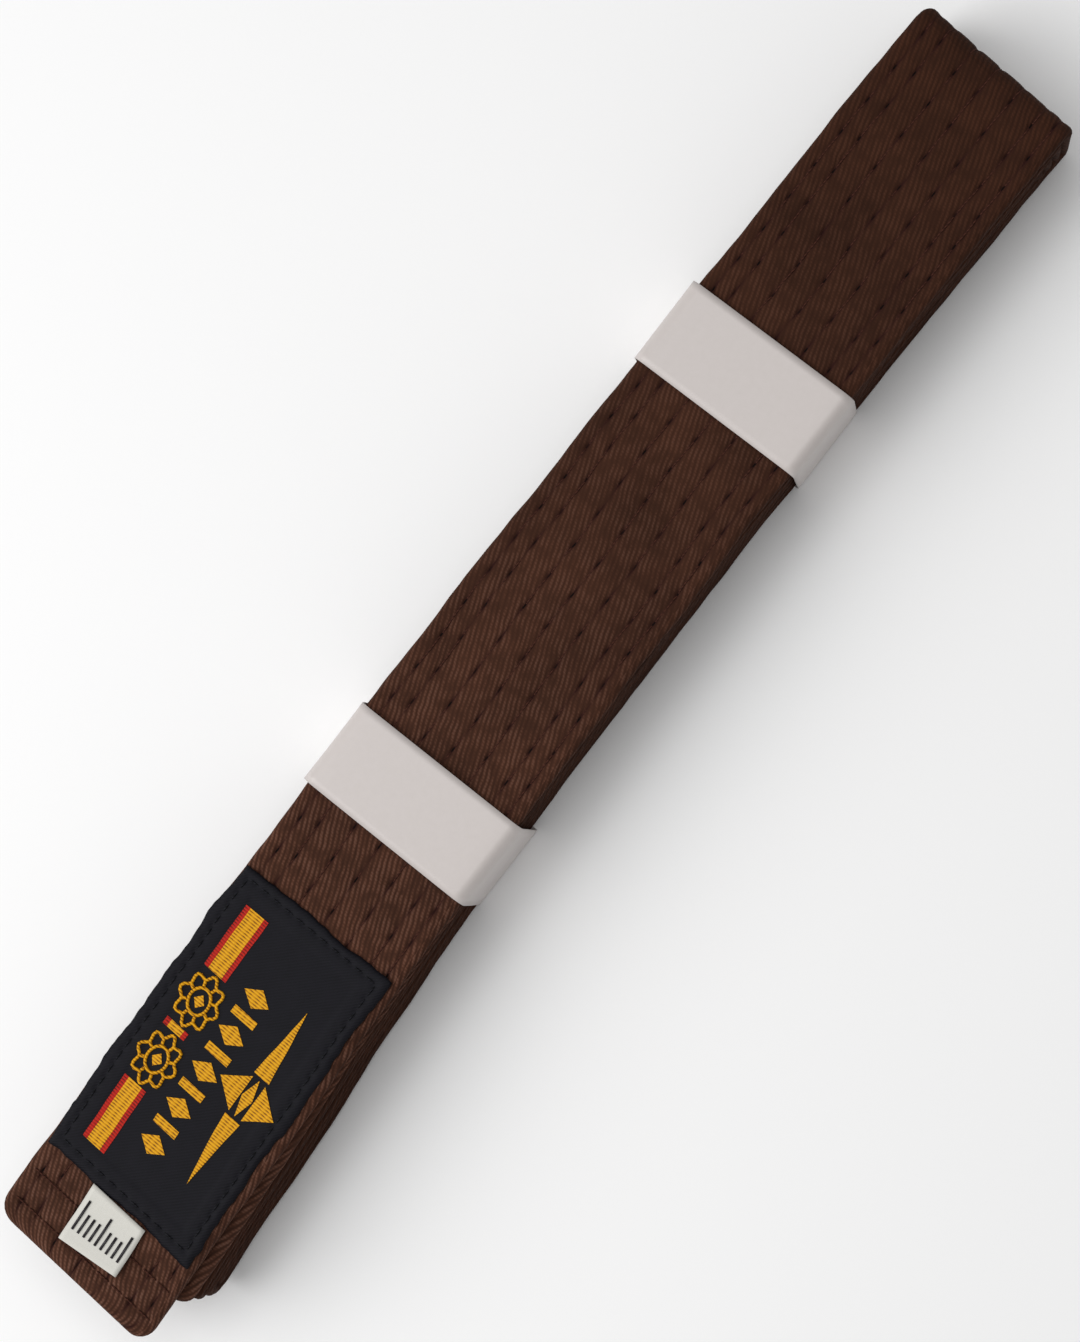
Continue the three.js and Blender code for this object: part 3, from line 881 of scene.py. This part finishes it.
def figure(name, outlines, thickness, material):
    """Raised satin-stitch figures: flat outlines on the label, given a padded thickness."""
    bm = bmesh.new()
    for outline in outlines:
        verts = [bm.verts.new(Vector((along, across, 0))) for along, across in outline]
        bm.faces.new(verts)
    bmesh.ops.recalc_face_normals(bm, faces=bm.faces)
    bmesh.ops.triangulate(bm, faces=bm.faces)
    long_edges = [edge for edge in bm.edges if edge.calc_length() > LONG_EDGE]
    bmesh.ops.subdivide_edges(bm, edges=long_edges, cuts=6)
    bmesh.ops.triangulate(bm, faces=bm.faces)
    top = bmesh.ops.extrude_face_region(bm, geom=bm.faces)["geom"]
    for vert in only(bmesh.types.BMVert, top):
        vert.co.z = 1.0
    for vert in bm.verts:
        vert.co = on_label(vert.co.x, vert.co.y, thickness if vert.co.z > 0.5 else -0.1 * MM)
    bmesh.ops.recalc_face_normals(bm, faces=bm.faces)
    piece = finished(name, bm)
    piece.data.polygons.foreach_set("use_smooth", [False] * len(piece.data.polygons))
    place_piece(piece, "label_end", material, "label_satin")


def box_outline(low, high):
    return [(low[0], low[1]), (high[0], low[1]), (high[0], high[1]), (low[0], high[1])]


def diamond(middle, half_along, half_across):
    x, y = middle
    return [(x - half_along, y), (x, y - half_across), (x + half_along, y), (x, y + half_across)]


def bar(x):
    return box_outline((x - 0.9, ROW_ACROSS - 2.9), (x + 0.9, ROW_ACROSS + 2.9))


def star_outlines(middle):
    """A long pointed star: two long points along the label, two short ones across it, and a heart."""
    x, y = middle
    return [
        [(x - 21.0, y), (x - 5.0, y - 1.9), (x - 5.0, y + 1.9)],
        [(x + 21.0, y), (x + 5.0, y + 1.9), (x + 5.0, y - 1.9)],
        [(x - 4.2, y - 1.6), (x, y - 7.0), (x + 4.2, y - 1.6)],
        [(x + 4.2, y + 1.6), (x, y + 7.0), (x - 4.2, y + 1.6)],
        diamond(middle, 4.4, 1.3)]


def rosette_runs(middle):
    """A plain rosette: a lobed ring, a smaller round ring inside it, and short rays between the two."""
    def spoke(reach, angle):
        return on_label(
            middle[0] + EMBLEM_HALF[0] * reach * math.cos(angle),
            middle[1] + EMBLEM_HALF[1] * reach * math.sin(angle), CORD_RISE)

    runs = []
    for scale, depth in ((1.0, 0.12), (0.48, 0.0)):
        angles = [2 * math.pi * i / RING_STEPS for i in range(RING_STEPS + 1)]
        runs.append([spoke(scale * (1 - depth + depth * math.cos(LOBES * angle)), angle) for angle in angles])
    for i in range(LOBES):
        angle = 2 * math.pi * (i + 0.5) / LOBES
        runs.append([spoke(reach, angle) for reach in (0.55, 0.65, 0.75)])
    return runs


label = make_label()
place_piece(label, "label_end", satin, "label_satin", "label")
place_piece(make_label_seam(), "label_end", black_thread, "black_thread", "label_stitching")

half_gap = EMBLEM_HALF[0] + EMBLEM_GAP
breaks = [STRIPE[0]] + [x + side * half_gap for x, _ in EMBLEMS for side in (-1, 1)] + [STRIPE[1]]
spans = list(zip(breaks[::2], breaks[1::2]))
figure("stripe_red", [
    box_outline((a, across), (b, across + RED_EDGE)) for a, b in spans
    for across in (STRIPE_ACROSS[0], STRIPE_ACROSS[1] - RED_EDGE)], STRIPE_RISE, red)
figure("stripe_gold", [
    box_outline((a, STRIPE_ACROSS[0] + RED_EDGE), (b, STRIPE_ACROSS[1] - RED_EDGE))
    for a, b in spans], FIGURE_RISE, gold)

for i, middle in enumerate(EMBLEMS):
    rosette = cord_mesh(f"rosette_{i + 1}", rosette_runs(middle), CORD_RADIUS)
    place_piece(rosette, "label_end", gold, "label_satin")
    figure(f"rosette_heart_{i + 1}", [diamond(middle, 1.5, 1.3)], FIGURE_RISE, gold)

places = [ROW_ALONG[0] + (ROW_ALONG[1] - ROW_ALONG[0]) * (i + 0.5) / ROW_COUNT for i in range(ROW_COUNT)]
figure("lozenge_row", [
    diamond((x, ROW_ACROSS), 2.2, 3.2) if i % 2 == 0 else bar(x) for i, x in enumerate(places)],
    FIGURE_RISE, gold)
figure("long_star", star_outlines(STAR_MIDDLE), STAR_RISE, gold)


# ---------------------------------------------------------------- the size tag

TAG_PAPER = 0.2 * MM
TAG_GAP = 0.5 * MM
TAG_LIFT = 0.05 * MM
TAG_SKEW = 0.15
TAG_DRIFT = 0.8 * MM
TAG_RISE = 0.9 * MM
TAG_MIDDLE = (tag_low.y + tag_high.y) / 2
TAG_WIDTH = tag_high.y - tag_low.y
TAG_COLUMNS = 14
TAG_STEPS = 12
TAG_FOLD_STEPS = 6
MARKS = 9
LONG_MARK = 6.2 * MM
SHORT_MARK = 4.0 * MM
MARK_WIDTH = 0.5 * MM
MARK_DEPTH = 0.1 * MM
MARK_RISE = 0.04 * MM


def on_tag(point):
    """Where a point of the flat tag lies: the free edge stands up a little and is sewn in askew."""
    free = (tag_high.x - point.x) / (tag_high.x - tag_low.x)
    askew = TAG_SKEW * (TAG_MIDDLE - point.y) * free
    return lie(Vector((point.x + askew, point.y - TAG_DRIFT * free, point.z + TAG_RISE * free ** 2)))


def drawn_along(bm, edges, distance, steps):
    """Draws edges out along X into a sheet, and gives its last edges."""
    run = bmesh.ops.spin(
        bm, geom=edges, cent=(0, 0, 0), axis=(1, 0, 0), dvec=(distance / steps, 0, 0), angle=0, steps=steps)
    return only(bmesh.types.BMEdge, run["geom_last"])


def make_tag():
    """A tape folded double: out from the label, round its fold and back."""
    low_z = tag_low.z + TAG_LIFT
    fold_x = tag_low.x + TAG_GAP / 2
    bm = bmesh.new()
    across = [tag_low.y + TAG_WIDTH * i / TAG_COLUMNS for i in range(TAG_COLUMNS + 1)]
    verts = [bm.verts.new((tag_high.x, y, low_z)) for y in across]
    edges = [bm.edges.new(pair) for pair in zip(verts, verts[1:])]
    edges = drawn_along(bm, edges, fold_x - tag_high.x, TAG_STEPS)
    run = bmesh.ops.spin(
        bm, geom=edges, cent=(fold_x, 0, low_z + TAG_GAP / 2), axis=(0, 1, 0), dvec=(0, 0, 0),
        angle=math.pi, steps=TAG_FOLD_STEPS)
    drawn_along(bm, only(bmesh.types.BMEdge, run["geom_last"]), tag_high.x - fold_x, TAG_STEPS)
    for vert in bm.verts:
        vert.co = on_tag(vert.co)
    bmesh.ops.recalc_face_normals(bm, faces=bm.faces)
    bmesh.ops.solidify(bm, geom=bm.faces, thickness=TAG_PAPER)
    bmesh.ops.recalc_face_normals(bm, faces=bm.faces)
    return finished("size_tape", bm)


def make_size_marks():
    """Printed bars of stepped lengths across the tag, like the marks of a rule."""
    bm = bmesh.new()
    start_x = (tag_low.x + tag_high.x) / 2 - LONG_MARK / 2
    top = tag_low.z + TAG_LIFT + TAG_GAP + TAG_PAPER / 2
    for i in range(MARKS):
        y = tag_low.y + TAG_WIDTH * (i + 1) / (MARKS + 1)
        length = LONG_MARK if i % 4 == 0 else SHORT_MARK
        for vert in bmesh.ops.create_cube(bm, size=1.0)["verts"]:
            x = start_x + (vert.co.x + 0.5) * length
            across = y + vert.co.y * MARK_WIDTH
            vert.co = on_tag(Vector((x, across, top + vert.co.z * MARK_DEPTH + MARK_RISE)))
    return finished("size_marks", bm)


size_tape = make_tag()
size_tape.data.materials.append(tape)
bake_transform(size_tape)
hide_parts("size_tag")
place_piece(make_size_marks(), "tag", ink, "white_tape")


# ---------------------------------------------------------------- the paper bands

BAND_PAPER = 0.22 * MM
BAND_CORNER = 2.7 * MM
BAND_ROOM_RIGHT = 0.9 * MM
BAND_ROOM_LEFT = 1.1 * MM
BAND_ROOM_UNDER = 0.12 * MM
BAND_ROOM_OVER = 0.7 * MM
BAND_STEPS = 12
BAND_WAVER = 0.1 * MM
CORNER_STEPS = 8
LONG_SPAN = 5 * MM
LAP_PAPER = 0.18 * MM
LAP_HEIGHT = 0.45 * MM


def make_band(name, left_bulge, crown):
    """A strip of paper round the bundle, crowned on top and rounded at its corners."""
    low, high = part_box(name + "_strip")
    mid = (low.x + high.x) / 2
    half = HALF_WIDTH * (1 + END_SPREAD * ease(1 - (mid - END_X) / SPREAD_LENGTH))
    right, left = -half - BAND_ROOM_RIGHT, half + BAND_ROOM_LEFT
    bottom, top = BAND_ROOM_UNDER, TOP + BAND_ROOM_OVER
    bm = bmesh.new()
    corners = ((right, bottom), (left, bottom), (left, top), (right, top))
    verts = [bm.verts.new((low.x, y, z)) for y, z in corners]
    bm.faces.new(verts)
    bmesh.ops.bevel(
        bm, geom=verts, offset=BAND_CORNER, offset_type="OFFSET", affect="VERTICES",
        segments=CORNER_STEPS, profile=0.5, material=-1)
    spans = [edge for edge in bm.edges if edge.calc_length() > LONG_SPAN]
    bmesh.ops.subdivide_edges(bm, edges=spans, cuts=12)
    bmesh.ops.delete(bm, geom=list(bm.faces), context="FACES_ONLY")
    drawn_along(bm, list(bm.edges), high.x - low.x, BAND_STEPS)
    for vert in bm.verts:
        x, y, z = vert.co
        on_top = ease((z - 0.8 * TOP) / (0.2 * TOP)) * math.sqrt(max(0.0, 1 - (y / half) ** 2))
        vert.co.z += crown * on_top
        side = math.sin(math.pi * min(1.0, max(0.0, z / top)))
        vert.co.y += lean(mid) * (1 - z / top)
        vert.co.y += left_bulge * side * ease((y - 0.9 * half) / (0.1 * half))
        vert.co.y += bow(mid) + waver(BAND_WAVER, x / (9 * MM), y / (9 * MM), z / (9 * MM))
    bmesh.ops.recalc_face_normals(bm, faces=bm.faces)
    bmesh.ops.solidify(bm, geom=bm.faces, thickness=BAND_PAPER)
    bmesh.ops.recalc_face_normals(bm, faces=bm.faces)
    return finished(name + "_paper", bm)


def make_lap(name):
    """The band's glued end, flat under the bundle."""
    low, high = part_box(name + "_lap")
    bm = bmesh.new()
    bmesh.ops.create_grid(bm, x_segments=8, y_segments=8, size=0.5)
    for vert in bm.verts:
        x = (low.x + high.x) / 2 + vert.co.x * (high.x - low.x)
        y = (low.y + high.y) / 2 + vert.co.y * (high.y - low.y) + bow((low.x + high.x) / 2)
        vert.co = Vector((x, y, LAP_HEIGHT))
    bmesh.ops.solidify(bm, geom=bm.faces, thickness=LAP_PAPER)
    bmesh.ops.recalc_face_normals(bm, faces=bm.faces)
    return finished(name + "_paper_lap", bm)


for name, left_bulge, crown in (("near_band", 0.2 * MM, 0.3 * MM), ("far_band", 0.0, 0.2 * MM)):
    place_piece(make_band(name, left_bulge, crown), name, paper, "band_paper", name + "_strip")
    place_piece(make_lap(name), name, paper, "band_paper", name + "_lap")


# ---------------------------------------------------------------- the floor, the light and the camera

def floor_finish():
    material, _, shader = new_material("studio_floor")
    shader.inputs["Base Color"].default_value = linear("#FDFDFD")
    shader.inputs["Roughness"].default_value = 0.9
    return material


bpy.ops.mesh.primitive_plane_add(size=6, location=(0, 0, -0.2 * MM))
floor = bpy.context.object
floor.name = "floor"
floor.data.materials.append(floor_finish())


def soft_light(name, place, aim, size, power):
    data = bpy.data.lights.new(name, "AREA")
    data.shape = "DISK"
    data.size = size
    data.energy = power
    lamp = bpy.data.objects.new(name, data)
    lamp.location = place
    lamp.rotation_euler = (Vector(aim) - Vector(place)).to_track_quat("-Z", "Y").to_euler()
    bpy.context.scene.collection.objects.link(lamp)


soft_light("key", (-0.6, 0.55, 0.72), aim=(-0.05, 0, 0.02), size=1.0, power=7.2)
soft_light("overhead", (0.1, 0.1, 1.3), aim=(0, 0, 0), size=1.2, power=5.7)

world = bpy.data.worlds.new("studio")
world.use_nodes = True
world.node_tree.nodes["Background"].inputs["Color"].default_value = (1, 1, 1, 1)
world.node_tree.nodes["Background"].inputs["Strength"].default_value = 0.32
bpy.context.scene.world = world

# The camera looks down from the right of the belt, leaning a little, with the belt running up the picture.
CAMERA_DISTANCE = 0.682
CAMERA_SWING = math.radians(11.0)
CAMERA_LEAN = math.radians(10.91)
CAMERA_TURN = math.radians(-63.14)
CAMERA_LENS = 91.3
SENSOR = 36.0
camera_aim = Vector((MIDDLE_X + 1.6 * MM, -1.0 * MM, TOP))
facing = Matrix.Rotation(CAMERA_SWING, 4, "Z") @ Matrix.Rotation(CAMERA_LEAN, 4, "X")
facing = facing @ Matrix.Rotation(CAMERA_TURN, 4, "Z")
camera_data = bpy.data.cameras.new("camera")
camera_data.lens = CAMERA_LENS
camera_data.sensor_fit = "VERTICAL"
camera_data.sensor_height = SENSOR
camera_data.sensor_width = SENSOR
camera = bpy.data.objects.new("camera", camera_data)
camera.matrix_world = Matrix.Translation(camera_aim + CAMERA_DISTANCE * facing.col[2].to_3d()) @ facing
bpy.context.scene.collection.objects.link(camera)
bpy.context.scene.camera = camera
bpy.context.scene.view_settings.view_transform = "Standard"
